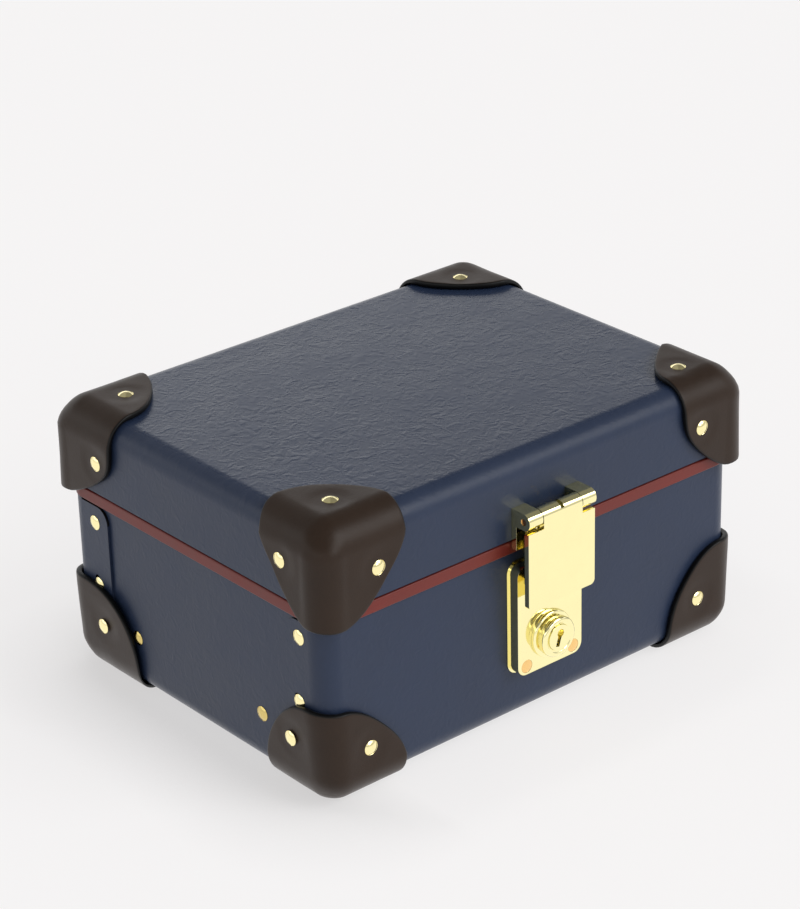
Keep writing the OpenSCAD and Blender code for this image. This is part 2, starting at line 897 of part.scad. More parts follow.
module lid_corner_rivets() {
    brass_color() stand() for (x = [-1, 1], y = [-1, 1])
        at_lid_corner(x, y) at_spots(lid_spots) rivet(leather_out + lid_t);
}

module lid_lining() {
    inset = 2 * (lid_t + gap);
    lining_color() stand() translate([0, 0, lid_z + 1])
        cover(lid_w - inset, lid_d - inset, lid_h - 1 - lid_t - gap, edge_r - lid_t - gap, lid_lining_t);
}

module lid_pad() {
    lining_color() stand() translate([0, 0, pad_z]) linear_extrude(pad_t) rounded_rect(pad_w, pad_d, 6);
}

module mirror_frame() {
    frame_h = 3;
    lip = 1.2;
    brass_color() stand() translate([0, 0, pad_z - gap - frame_h]) difference() {
        linear_extrude(frame_h) rounded_rect(glass_w + 2 * glass_rim, glass_d + 2 * glass_rim, 5);
        translate([0, 0, frame_h - glass_t - 2 * gap]) linear_extrude(glass_t + eps)
            square([glass_w + 2 * gap, glass_d + 2 * gap], center = true);
        translate([0, 0, -eps]) linear_extrude(frame_h)
            square([glass_w - 2 * lip, glass_d - 2 * lip], center = true);
    }
}

module mirror_glass() {
    color([0.80, 0.84, 0.86]) stand() translate([0, 0, pad_z - gap - glass_t - gap])
        linear_extrude(glass_t) square([glass_w, glass_d], center = true);
}

base_tray();
front_panel();
back_panel();
rim_band();
inner_frame();
base_corner_front_left();
base_corner_front_right();
base_corner_back_left();
base_corner_back_right();
base_corner_rivets();
foot_rivets();
flap_rivets();
side_rivets();
lock_case();
lock_back_plate();
lock_cylinder();
lock_plug();
lock_bolt();
lock_rivets();
base_hinge_leaf_left();
base_hinge_leaf_right();
hinge_pin_left();
hinge_pin_right();
base_hinge_rivets();
base_lining();
long_divider();
front_divider();
back_divider();
ring_shelf();
ring_roll_1();
ring_roll_2();
ring_roll_3();
ring_roll_4();
ring_roll_5();
lid_shell();
lid_corner_front_left();
lid_corner_front_right();
lid_corner_back_left();
lid_corner_back_right();
lid_corner_rivets();
lid_hinge_leaf_left();
lid_hinge_leaf_right();
lid_hinge_rivets();
hasp_bracket();
bracket_rivets();
hasp_pin();
hasp_plate();
lid_lining();
lid_pad();
mirror_frame();
mirror_glass();
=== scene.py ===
"""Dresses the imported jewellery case: boards, leather, brass, lining and a plain studio.

Every size is in metres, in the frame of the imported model: X runs along the front,
Y from the lock to the hinges and Z up from the feet.
"""

import json
import math
from collections import namedtuple
from functools import cache

import bmesh
import bpy
import numpy as np
from bpy.props import FloatProperty, FloatVectorProperty, PointerProperty
from mathutils import Matrix, Vector, noise

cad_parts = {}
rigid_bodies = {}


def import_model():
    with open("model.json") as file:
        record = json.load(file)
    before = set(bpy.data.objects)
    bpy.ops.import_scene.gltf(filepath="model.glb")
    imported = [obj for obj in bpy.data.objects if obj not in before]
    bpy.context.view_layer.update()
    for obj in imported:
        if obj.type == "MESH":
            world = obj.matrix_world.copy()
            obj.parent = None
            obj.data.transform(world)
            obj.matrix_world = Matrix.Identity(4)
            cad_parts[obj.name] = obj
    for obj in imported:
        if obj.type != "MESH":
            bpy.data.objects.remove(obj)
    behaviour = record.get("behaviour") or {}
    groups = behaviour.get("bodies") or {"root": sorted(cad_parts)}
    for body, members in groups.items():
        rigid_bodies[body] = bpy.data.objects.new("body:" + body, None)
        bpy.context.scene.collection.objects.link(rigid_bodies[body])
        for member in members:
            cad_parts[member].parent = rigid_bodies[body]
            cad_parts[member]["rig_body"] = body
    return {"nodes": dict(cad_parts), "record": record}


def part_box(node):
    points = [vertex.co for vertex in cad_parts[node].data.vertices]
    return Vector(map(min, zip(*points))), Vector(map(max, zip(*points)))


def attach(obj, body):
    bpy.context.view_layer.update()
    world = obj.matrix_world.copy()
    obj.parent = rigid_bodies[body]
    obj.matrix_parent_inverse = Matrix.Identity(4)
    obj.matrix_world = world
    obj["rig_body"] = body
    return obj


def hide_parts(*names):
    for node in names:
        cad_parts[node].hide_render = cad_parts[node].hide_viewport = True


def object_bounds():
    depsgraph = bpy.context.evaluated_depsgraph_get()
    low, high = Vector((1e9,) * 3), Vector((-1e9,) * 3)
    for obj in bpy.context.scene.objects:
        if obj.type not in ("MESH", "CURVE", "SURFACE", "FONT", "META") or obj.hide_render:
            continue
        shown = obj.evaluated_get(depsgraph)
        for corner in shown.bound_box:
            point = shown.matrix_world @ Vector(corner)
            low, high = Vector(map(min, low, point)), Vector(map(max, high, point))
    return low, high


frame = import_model()
CAD_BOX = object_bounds()

bl_info = {
    "name": "Jewellery Case Dresser",
    "version": (1, 0, 0),
    "blender": (4, 5, 0),
    "location": "View3D > Sidebar > Case",
    "description": "Builds the boards, leather, brass, lining and studio of a jewellery case",
    "category": "Object",
}

MM = 0.001


# ---------- sizes and colours ----------


def length(name, description, value):
    return FloatProperty(name=name, description=description, default=value, min=0.0,
                         unit="LENGTH", precision=5)


def rounding(name, value):
    return length(f"{name}, edges", f"Rounding of the edges: {name.lower()}", value)


def colour(name, description, value):
    return FloatVectorProperty(name=name, description=description, default=value, size=3,
                               min=0.0, max=1.0, subtype="COLOR")


class CaseSizes(bpy.types.PropertyGroup):
    edge_radius: length("Edge radius", "Radius of the boards' rounded edges", 8.5 * MM)
    leather: length("Leather", "Thickness of the moulded leather", 2.38 * MM)
    lift: length("Lift", "How far the leather stands off between its rivets", 0.4 * MM)
    lid_lift: length("Lid lift", "How far it stands off the lid's upright edges", 1.1 * MM)
    lid_round: length("Lid tips", "How much rounder the lid's leather is than its box", 2.3 * MM)
    foot_round: length("Feet", "How much rounder the base's leather is than its box", 1.8 * MM)
    foot_taper: length("Feet, sides", "How much thinner the leather gets down the sides", 1.4 * MM)
    hasp_edge: rounding("Hasp", 0.28 * MM)
    lock_edge: rounding("Lock case", 0.45 * MM)
    plug_edge: rounding("Key plug", 0.12 * MM)
    hinge_edge: rounding("Hinge leaves", 0.2 * MM)
    board_edge: rounding("Boards", 0.35 * MM)
    band_edge: rounding("Rim band", 0.8 * MM)
    frame_edge: rounding("Inner and mirror frames", 0.5 * MM)
    lining_edge: rounding("Linings", 0.3 * MM)
    divider_edge: rounding("Dividers", 1.1 * MM)
    shelf_edge: rounding("Ring shelf", 0.8 * MM)
    crinkle: length("Crinkle", "Depth of the crinkled board surface", 0.16 * MM)


class CaseColours(bpy.types.PropertyGroup):
    board: colour("Board", "Vulcanised fibreboard", (0.020, 0.032, 0.067))
    inner: colour("Inner board", "Covered board of the inner frame", (0.024, 0.028, 0.040))
    leather: colour("Leather", "Moulded corner leather", (0.029, 0.0165, 0.010))
    dye: colour("Edge dye", "Dyed cut edges of leather and boards", (0.003, 0.003, 0.003))
    band: colour("Rim band", "Edge binding round the opening", (0.160, 0.022, 0.016))
    brass: colour("Brass", "Polished plates of lock and hasp", (0.89, 0.815, 0.44))
    rivet: colour("Rivet", "Domed rivet heads", (0.90, 0.80, 0.43))
    amber: colour("Lock rivets", "Warmer heads in the lock's face", (0.86, 0.56, 0.22))
    aged: colour("Aged brass", "Low rivets in the sides", (0.60, 0.47, 0.17))
    pin: colour("Pin", "Hasp pin", (0.62, 0.30, 0.13))
    works: colour("Works", "Bolt and plate inside the lock", (0.60, 0.57, 0.50))
    lining: colour("Lining", "Suede cloth inside", (0.150, 0.036, 0.034))
    glass: colour("Mirror", "Silvered glass", (0.86, 0.88, 0.89))


def sizes():
    return bpy.context.scene.case_sizes


def colours():
    return bpy.context.scene.case_colours


# ---------- shader nodes ----------


def feed(tree, node, inputs):
    """Sets a node's inputs, and links those whose value comes from another node."""
    for key, value in inputs.items():
        if isinstance(value, bpy.types.NodeSocket):
            tree.links.new(value, node.inputs[key])
        else:
            node.inputs[key].default_value = value


def put(tree, kind, inputs=None, **settings):
    """Adds a node with its settings and its inputs."""
    node = tree.nodes.new(kind)
    for key, value in settings.items():
        setattr(node, key, value)
    feed(tree, node, inputs or {})
    return node


def maths(tree, operation, first, second=0.0):
    return put(tree, "ShaderNodeMath", {0: first, 1: second}, operation=operation).outputs[0]


def plus(tree, first, second):
    return maths(tree, "ADD", first, second)


def times(tree, first, second):
    return maths(tree, "MULTIPLY", first, second)


def spread(tree, value, span, target):
    """Carries a span of values over to a target span, and holds its ends beyond it."""
    values = {"Value": value, "From Min": span[0], "From Max": span[1],
              "To Min": target[0], "To Max": target[1]}
    return put(tree, "ShaderNodeMapRange", values).outputs["Result"]


def mixed(tree, factor, first, second, blend="MIX"):
    """Two colours mixed: a Mix node keeps its colours in inputs 6 and 7, and output 2."""
    values = {0: factor, 6: first, 7: second}
    return put(tree, "ShaderNodeMix", values, data_type="RGBA", blend_type=blend).outputs[2]


def switched(tree, mask, off, on):
    """One number where a mask is 0 and another where it is 1."""
    values = {"Factor": mask, "A": off, "B": on}
    return put(tree, "ShaderNodeMix", values, data_type="FLOAT").outputs[0]


def tinted(tree, base, factor):
    """A colour made darker or lighter by a factor."""
    grey = put(tree, "ShaderNodeCombineColor", {0: factor, 1: factor, 2: factor})
    return mixed(tree, 1.0, base, grey.outputs[0], "MULTIPLY")


def attribute(tree, name):
    """A mask that a piece's mesh carries."""
    return put(tree, "ShaderNodeAttribute", attribute_name=name).outputs["Fac"]


def ray_kinds(tree):
    """Masks for what the camera sees directly, and for what gloss and glass show."""
    path = put(tree, "ShaderNodeLightPath").outputs
    shiny = maths(tree, "MAXIMUM", path["Is Glossy Ray"], path["Is Transmission Ray"])
    return path["Is Camera Ray"], shiny


def rgba(value):
    return (*value[:3], 1.0)


SOCKETS = {"Vector": "NodeSocketVector", "Colour": "NodeSocketColor"}


class Effect:
    """A shader node group on a vector, with named inputs and outputs, placed where needed."""

    def __init__(self, name, inputs, outputs):
        self.tree = bpy.data.node_groups.new(name, "ShaderNodeTree")
        self.socket("INPUT", "Vector")
        for label, value in inputs.items():
            self.socket("INPUT", label).default_value = value
        for label in outputs:
            self.socket("OUTPUT", label)
        self.ins = self.tree.nodes.new("NodeGroupInput").outputs
        self.outs = self.tree.nodes.new("NodeGroupOutput").inputs

    def socket(self, way, label):
        kind = SOCKETS.get(label, "NodeSocketFloat")
        return self.tree.interface.new_socket(label, in_out=way, socket_type=kind)

    def noise(self, finer=1.0, detail=3.0, rough=0.5, distortion=0.0, vector=None):
        """Noise that is so many times finer than the effect's own scale."""
        values = {"Vector": vector or self.ins["Vector"],
                  "Scale": times(self.tree, self.ins["Scale"], finer),
                  "Detail": detail, "Roughness": rough, "Distortion": distortion}
        return put(self.tree, "ShaderNodeTexNoise", values).outputs["Fac"]

    def out(self, label, socket):
        self.tree.links.new(socket, self.outs[label])


@cache
def mottle_effect():
    """A colour that a broad and a fine noise make uneven, and the noise itself."""
    made = Effect("Mottle", {"Colour": (0.5, 0.5, 0.5, 1.0), "Amount": 0.2, "Scale": 60.0},
                  ("Colour", "Mask"))
    t, i = made.tree, made.ins
    broad = made.noise(detail=4.0, rough=0.6)
    fine = made.noise(9.0, rough=0.6)
    mask = plus(t, times(t, broad, 0.65), times(t, fine, 0.35))
    swing = times(t, maths(t, "SUBTRACT", mask, 0.5), i["Amount"])
    made.out("Colour", tinted(t, i["Colour"], plus(t, times(t, swing, 2.0), 1.0)))
    made.out("Mask", mask)
    return made.tree


@cache
def crinkle_effect():
    """The height of crinkled board: folds, with small and large unevenness on them."""
    made = Effect("Crinkle", {"Scale": 260.0, "Fine": 0.35}, ("Height",))
    t = made.tree
    waves = made.noise(detail=2.0, rough=0.55, distortion=0.6)
    folds = times(t, maths(t, "ABSOLUTE", maths(t, "SUBTRACT", waves, 0.5)), 1.8)
    small = made.noise(3.4, detail=4.0, rough=0.6)
    large = made.noise(0.22, detail=2.0)
    grained = plus(t, folds, times(t, small, made.ins["Fine"]))
    made.out("Height", plus(t, grained, times(t, large, 0.9)))
    return made.tree


@cache
def pores_effect():
    """The height of leather: small cells over shallow dips."""
    made = Effect("Pores", {"Scale": 1500.0}, ("Height",))
    t, i = made.tree, made.ins
    values = {"Vector": i["Vector"], "Scale": i["Scale"], "Smoothness": 0.6}
    cells = put(t, "ShaderNodeTexVoronoi", values, feature="SMOOTH_F1")
    dips = made.noise(0.16, rough=0.6)
    made.out("Height", plus(t, times(t, cells.outputs["Distance"], 0.5), dips))
    return made.tree


@cache
def nap_effect():
    """Suede: a colour that changes with its hairs and its brushing, and the hairs' height."""
    made = Effect("Nap", {"Colour": (0.2, 0.05, 0.05, 1.0), "Scale": 900.0},
                  ("Colour", "Height"))
    t = made.tree
    hairs = made.noise(detail=5.0, rough=0.75)
    brushed = made.noise(0.05, rough=0.55, distortion=1.2)
    pile = plus(t, times(t, hairs, 0.55), brushed)
    made.out("Colour", tinted(t, made.ins["Colour"], spread(t, pile, (0.45, 1.1), (0.66, 1.4))))
    made.out("Height", hairs)
    return made.tree


@cache
def scuff_effect():
    """Roughness between two values, by patches and long fine lines, and their height."""
    made = Effect("Scuff", {"Scale": 120.0, "Low": 0.05, "High": 0.16}, ("Roughness", "Height"))
    t, i = made.tree, made.ins
    patches = made.noise(rough=0.6)
    drawn_out = put(t, "ShaderNodeMapping", {"Vector": i["Vector"], "Scale": (1.0, 1.0, 0.08)})
    lines = made.noise(14.0, detail=2.0, vector=drawn_out.outputs["Vector"])
    marks = times(t, patches, lines)
    made.out("Roughness", spread(t, marks, (0.12, 0.42), (i["Low"], i["High"])))
    made.out("Height", plus(t, patches, times(t, lines, 0.06)))
    return made.tree


def effect(tree, group, place, **values):
    """Places an effect in a material, with its values, and gives its outputs."""
    inputs = {"Vector": place, **values}
    return put(tree, "ShaderNodeGroup", inputs, node_tree=group).outputs


def new_finish(name):
    """A material with its tree, its surface shader and its object coordinates."""
    material = bpy.data.materials.new(name)
    material.use_nodes = True
    tree = material.node_tree
    tree.nodes.clear()
    shader = put(tree, "ShaderNodeBsdfPrincipled")
    out = put(tree, "ShaderNodeOutputMaterial")
    tree.links.new(shader.outputs[0], out.inputs["Surface"])
    place = put(tree, "ShaderNodeTexCoord").outputs["Object"]
    return material, tree, shader, place


def mottled(tree, place, tone, amount, scale):
    return effect(tree, mottle_effect(), place, Colour=rgba(tone), Amount=amount, Scale=scale)


def bumped(tree, shader, height, depth, strength=1.0):
    values = {"Height": height, "Distance": depth, "Strength": strength}
    feed(tree, shader, {"Normal": put(tree, "ShaderNodeBump", values).outputs[0]})


def board_finish(name, tone, depth, rough):
    """Crinkled board: crisper and glossier where "top" is 1, and dyed where "cut" is 1."""
    material, tree, shader, place = new_finish(name)
    body = mottled(tree, place, tone, amount=0.16, scale=45.0)
    top = attribute(tree, "top")
    grain = spread(tree, body["Mask"], (0.3, 0.7), (rough - 0.05, rough + 0.05))
    feed(tree, shader, {
        "Base Color": mixed(tree, attribute(tree, "cut"), body["Colour"], rgba(colours().dye)),
        "Roughness": plus(tree, grain, times(tree, top, -0.13)),
        "Specular IOR Level": 0.3,
    })
    height = effect(tree, crinkle_effect(), place, Scale=205.0, Fine=0.18)["Height"]
    crispness = spread(tree, top, (0.0, 1.0), (0.7, 0.95))
    bumped(tree, shader, times(tree, height, crispness), depth)
    return material


def leather_finish():
    """Dark pored leather, dyed darker where "rim" is 1."""
    material, tree, shader, place = new_finish("corner_leather")
    body = mottled(tree, place, colours().leather, amount=0.22, scale=70.0)
    feed(tree, shader, {
        "Base Color": mixed(tree, attribute(tree, "rim"), body["Colour"], rgba(colours().dye)),
        "Roughness": spread(tree, body["Mask"], (0.3, 0.7), (0.34, 0.46)),
        "Specular IOR Level": 0.2,
    })
    height = effect(tree, pores_effect(), place, Scale=1300.0)["Height"]
    bumped(tree, shader, height, depth=0.05 * MM, strength=0.7)
    return material


def band_finish():
    material, tree, shader, place = new_finish("rim_binding")
    body = mottled(tree, place, colours().band, amount=0.25, scale=90.0)
    feed(tree, shader, {
        "Base Color": body["Colour"],
        "Roughness": spread(tree, body["Mask"], (0.3, 0.7), (0.36, 0.48)),
        "Specular IOR Level": 0.3,
    })
    height = effect(tree, pores_effect(), place, Scale=900.0)["Height"]
    bumped(tree, shader, height, depth=0.05 * MM, strength=0.6)
    return material


def metal_finish(name, tone, rough, depth):
    """Polished metal with faint marks, whose roughness runs between two values."""
    material, tree, shader, place = new_finish(name)
    body = mottled(tree, place, tone, amount=0.05, scale=120.0)
    marks = effect(tree, scuff_effect(), place, Scale=110.0, Low=rough[0], High=rough[1])
    feed(tree, shader, {"Base Color": body["Colour"], "Roughness": marks["Roughness"],
                        "Metallic": 1.0})
    bumped(tree, shader, marks["Height"], depth, strength=0.5)
    return material


def suede_finish(name, tone, scale):
    material, tree, shader, place = new_finish(name)
    pile = effect(tree, nap_effect(), place, Colour=rgba(tone), Scale=scale)
    feed(tree, shader, {"Base Color": pile["Colour"], "Roughness": 0.92, "Sheen Weight": 0.35,
                        "Sheen Roughness": 0.45})
    bumped(tree, shader, pile["Height"], depth=0.25 * MM, strength=0.8)
    return material


def mirror_finish():
    material, tree, shader, place = new_finish("mirror")
    body = mottled(tree, place, colours().glass, amount=0.02, scale=20.0)
    marks = effect(tree, scuff_effect(), place, Scale=30.0, Low=0.01, High=0.035)
    feed(tree, shader, {"Base Color": body["Colour"], "Roughness": marks["Roughness"],
                        "Metallic": 1.0})
    return material


@cache
def finish_of(name):
    """The material of that name, made when it is first asked for."""
    c = colours()
    makers = {
        "fibreboard": lambda: board_finish("fibreboard", c.board, sizes().crinkle, 0.40),
        "inner_board": lambda: board_finish("inner_board", c.inner, 0.06 * MM, 0.5),
        "leather": leather_finish,
        "band": band_finish,
        "brass": lambda: metal_finish("polished_brass", c.brass, (0.05, 0.10), 0.01 * MM),
        "amber_brass": lambda: metal_finish("amber_brass", c.amber, (0.16, 0.26), 0.1 * MM),
        "rivet_brass": lambda: metal_finish("rivet_brass", c.rivet, (0.10, 0.2), 0.25 * MM),
        "aged_brass": lambda: metal_finish("aged_brass", c.aged, (0.18, 0.32), 0.25 * MM),
        "bronze_pin": lambda: metal_finish("bronze_pin", c.pin, (0.15, 0.25), 0.02 * MM),
        "lock_works": lambda: metal_finish("lock_works", c.works, (0.22, 0.35), 0.03 * MM),
        "lining": lambda: suede_finish("suede_lining", c.lining, 800.0),
        "padding": lambda: suede_finish("suede_padding", c.lining, 620.0),
        "mirror": mirror_finish,
    }
    return makers[name]()


# ---------- pieces ----------

SLOTS = {row["node"]: row["material_slot"] for row in frame["record"]["subparts"]}
MIDDLE = np.array((CAD_BOX[0] + CAD_BOX[1]) / 2)

TOUCHING = 0.002 * MM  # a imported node's points this close are one
AT_POLE = 0.0005 * MM  # a turned shape's points this close are one
FLAT_WITHIN = math.radians(0.4)  # faces that turn by less belong to one flat face
ROUNDED_FROM = math.radians(32)  # edges that turn by more are rounded


def dress_node(*nodes):
    """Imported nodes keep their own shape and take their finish."""
    for node in nodes:
        mesh = frame["nodes"][node].data
        mesh.materials.clear()
        mesh.materials.append(finish_of(SLOTS[node]))


def add_object(name, data):
    made = bpy.data.objects.new(name, data)
    bpy.context.scene.collection.objects.link(made)
    return made


def new_mesh(name, bm):
    """Turns a bmesh into a mesh, and frees it."""
    mesh = bpy.data.meshes.new(name)
    bm.to_mesh(mesh)
    bm.free()
    return mesh


def add_piece(name, bm, node, finish=None):
    """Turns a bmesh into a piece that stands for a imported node, on its body and in its slot."""
    piece = add_object(name, new_mesh(name, bm))
    piece.data.materials.append(finish_of(finish or SLOTS[node]))
    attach(piece, frame["nodes"][node]["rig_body"])
    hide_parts(node)
    return piece


def joined_copy(node):
    """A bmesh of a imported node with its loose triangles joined."""
    bm = bmesh.new()
    bm.from_mesh(frame["nodes"][node].data)
    bmesh.ops.remove_doubles(bm, verts=bm.verts, dist=TOUCHING)
    return bm


def edge_angle(edge):
    return edge.calc_face_angle(0.0) if len(edge.link_faces) == 2 else 0.0


def shade(bm, limit=38.0):
    """Shades smoothly, with hard lines at edges that turn by more than a limit in degrees."""
    for face in bm.faces:
        face.smooth = True
    for edge in bm.edges:
        edge.smooth = edge_angle(edge) < math.radians(limit)


def soften_node(node, width, segments=2, mark=None):
    """Stands a copy of a node, with its sharp edges rounded, in the node's place."""
    bm = joined_copy(node)
    bmesh.ops.dissolve_limit(bm, angle_limit=FLAT_WITHIN, verts=bm.verts, edges=bm.edges)
    sharp = [edge for edge in bm.edges if edge_angle(edge) > ROUNDED_FROM]
    bmesh.ops.bevel(bm, geom=sharp, offset=width, offset_type="OFFSET", segments=segments,
                    profile=0.5, affect="EDGES", clamp_overlap=True, material=-1)
    shade(bm)
    if mark:
        mark(bm, node)
    piece = add_piece(node + "_soft", bm, node)
    modifier = piece.modifiers.new("Weighted normals", "WEIGHTED_NORMAL")
    modifier.keep_sharp = True
    modifier.weight = 60


def spun(profile, steps, closed=False):
    """A bmesh made by turning a profile of (radius, height) points round Z."""
    bm = bmesh.new()
    verts = [bm.verts.new((r, 0.0, z)) for r, z in profile]
    edges = [bm.edges.new(pair) for pair in zip(verts, verts[1:])]
    if closed:
        edges.append(bm.edges.new((verts[-1], verts[0])))
    bmesh.ops.spin(bm, geom=verts + edges, cent=(0, 0, 0), axis=(0, 0, 1), angle=math.tau,
                   steps=steps, use_merge=True)
    bmesh.ops.remove_doubles(bm, verts=bm.verts, dist=AT_POLE)
    bmesh.ops.recalc_face_normals(bm, faces=bm.faces)
    return bm


# ---------- boards ----------

TOP_DEPTH = 0.5 * MM  # how far down the lid's top reaches
FACING = 0.6  # the least share of a normal that counts as facing one way
NEAR_ENDS = 100 * MM  # how far from the middle a panel's ends begin


class CASE_OT_boards(bpy.types.Operator):
    """Dresses the tray, the wrapped panels, the lid shell and the inner frame"""

    bl_idname = "case.boards"
    bl_label = "Boards"

    def execute(self, context):
        for node in ("base_tray", "front_panel", "back_panel", "lid_shell"):
            soften_node(node, sizes().board_edge, mark=self.mark)
        soften_node("inner_frame", sizes().frame_edge)
        return {"FINISHED"}

    def mark(self, bm, node):
        """Marks the lid's top, and the dyed cut edges of the panels."""
        bm.normal_update()
        top = bm.verts.layers.float.new("top")
        cut_edge = bm.faces.layers.float.new("cut")
        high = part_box(node)[1].z
        if node == "lid_shell":
            for vert in bm.verts:
                vert[top] = 1.0 if vert.co.z > high - TOP_DEPTH else 0.0
        if node.endswith("_panel"):
            inward = 1 if node == "front_panel" else -1
            for face in bm.faces:
                near_end = abs(face.calc_center_median().x) > NEAR_ENDS
                at_end = near_end and face.normal.y * inward > FACING
                face[cut_edge] = 1.0 if at_end or face.normal.z > FACING else 0.0


class CASE_OT_rim_band(bpy.types.Operator):
    """Builds the rim band with its rounded edges"""

    bl_idname = "case.rim_band"
    bl_label = "Rim band"

    def execute(self, context):
        soften_node("rim_band", sizes().band_edge, 4)
        return {"FINISHED"}


# ---------- leather corners ----------

# How the leather lies over the boards' rounded corners.
SKIN_GAP = 0.05 * MM  # between the boards and the leather
OVER_BOARDS = 2.4 * MM  # how far a packed corner reaches out from there
RAYS_FROM = -26 * MM  # where rays start on each axis, from the rounding's middle
LONGEST_RAY = 200 * MM
TILTS = (0.2, 1.25)  # radians from the diagonal, between which the leather ends
RIVET_HOLD = 3.2 * MM  # how far round a rivet's middle the leather is held down
RIVET_RISE = 6.5 * MM  # how much further out it lies free
RIVET_DENT = 0.1 * MM  # how far a rivet presses it in
FACE_LIFT, EDGE_LIFT = 0.6, 0.7  # shares of the lift, on flat faces and more on level edges
TOP_RIDGE, LOW_RIDGE = 0.85, 0.45  # shares of the lid's lift, at the top and more below
FLARE_REACH = 28 * MM  # how far down the lid's upright edges that lift is full
FOOT_RIDGE = 0.2 * MM  # how far the feet stand off their upright edges
TIP_TURN = 1.7  # how soon the upright edges get rounder towards the tip
TAPER_REACH = 24 * MM  # how far up the feet's sides they are thinner
THINNEST = 0.3 * MM
WAVE_DEPTH = 0.12 * MM  # unevenness of the leather
WAVE_SCALE = 70  # waves per metre
WAVE_APART = 3.7  # from one corner's place in the noise to the next
EVEN_RIM = 0.985  # share of the radius beyond which there are no waves
PRESSED = 0.04 * MM  # how far its back may press into the gap
DYE_FROM, DYE_FADE = 0.972, 0.016  # where the dyed rim begins, and how wide it fades in


def loose_parts(node):
    """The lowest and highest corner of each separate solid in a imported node."""
    bm = joined_copy(node)
    todo, parts = set(bm.verts), []
    while todo:
        stack, found = [todo.pop()], []
        while stack:
            vert = stack.pop()
            found.append(vert.co.copy())
            for edge in vert.link_edges:
                other = edge.other_vert(vert)
                if other in todo:
                    todo.remove(other)
                    stack.append(other)
        points = np.array(found)
        parts.append((points.min(0), points.max(0)))
    bm.free()
    return parts


def narrowed(inside, low, high, count, rounds):
    """Halves spans from low to high, down to where the inside ends."""
    low, high = np.full(count, low), np.full(count, high)
    for _ in range(rounds):
        middle = (low + high) / 2
        within = inside(middle)
        low, high = np.where(within, middle, low), np.where(within, high, middle)
    return low, high


def on_skin(direction, start, radius):
    """Where rays from a point inside a rounded corner meet its skin, and the skin's normals."""
    def inside(reach):
        point = start + direction * reach[:, None]
        return np.linalg.norm(np.maximum(point, 0), axis=1) < radius

    reach = narrowed(inside, 0.0, LONGEST_RAY, len(direction), 40)[1]
    point = start + direction * reach[:, None]
    return point, np.maximum(point, 0) / radius


def aimed(tilt, turn):
    """Unit vectors tilted away from the corner's diagonal, and turned round it."""
    diagonal = np.array((1.0, 1.0, 1.0)) / math.sqrt(3)
    side = np.array((1.0, -1.0, 0.0)) / math.sqrt(2)
    across = np.cross(diagonal, side)
    ring = np.cos(turn)[:, None] * side + np.sin(turn)[:, None] * across
    return np.cos(tilt)[:, None] * diagonal + np.sin(tilt)[:, None] * ring


def past_outline(point, normal, lobes, cuts, power=7.0):
    """Above zero where a point on the skin lies outside the three lobes."""
    inward = np.maximum(-point, 0)
    slanted = (normal**2 * (inward @ cuts)).sum(1)
    total = ((inward / lobes) ** power).sum(1) + slanted**power
    return total ** (1 / power) - 1


def outline_tilt(turn, start, radius, lobes, cuts):
    """The tilt at which the leather ends, for each turn round the diagonal."""
    def inside(tilt):
        point, normal = on_skin(aimed(tilt, turn), start, radius)
        return past_outline(point, normal, lobes, cuts) <= 0

    return narrowed(inside, *TILTS, len(turn), 30)[0]


def leather_profile(rings=24, back_rings=9, rim_steps=10, rim=0.036, squareness=0.72):
    """Radius and layer of the leather's section: out along the face, round the rim and back."""
    flat = 1 - rim
    face = [(flat * k / rings, 1.0) for k in range(rings)]
    back = [(flat * k / back_rings, 0.0) for k in range(back_rings)]
    edge = []
    for k in range(rim_steps + 1):
        a = math.pi * (0.5 - k / rim_steps)
        out = abs(math.cos(a)) ** squareness
        up = math.copysign(abs(math.sin(a)) ** squareness, math.sin(a))
        edge.append((flat + rim * out, 0.5 + 0.5 * up))
    return face + edge + back[::-1]


def stand_off(point, normal, heads, lid):
    """How far the leather stands off the boards: down at its rivets, out along its ridges."""
    s = sizes()
    reach = np.stack([np.linalg.norm(point - head, axis=1) for head in heads]).min(0)
    free = np.clip((reach - RIVET_HOLD) / RIVET_RISE, 0, 1)
    free = free * free * (3 - 2 * free)
    upright = 2 * normal[:, 0] * normal[:, 1]
    level = 2 * normal[:, 2] * np.hypot(normal[:, 0], normal[:, 1])
    ridge = FOOT_RIDGE * upright
    if lid:
        flare = np.clip(-point[:, 2] / FLARE_REACH, 0, 1) ** 2
        ridge = s.lid_lift * upright * (TOP_RIDGE + LOW_RIDGE * flare)
    return free * (s.lift * (FACE_LIFT + EDGE_LIFT * level) + ridge) - (1 - free) * RIVET_DENT


def thickness(point, normal, lid):
    """How thick the leather is: thinner at the box's tips, and down the feet's sides."""
    s = sizes()
    flat = np.hypot(normal[:, 0], normal[:, 1])
    tip = flat + normal[:, 2] - 1
    tip += np.minimum(1, TIP_TURN * normal[:, 2]) * (normal[:, 0] + normal[:, 1] - flat)
    thick = s.leather - (s.lid_round if lid else s.foot_round) * tip
    if not lid:
        down = np.clip(1 + point[:, 2] / TAPER_REACH, 0, 1)
        thick = thick - s.foot_taper * down * normal[:, 0] ** 2
    return np.maximum(thick, THINNEST)


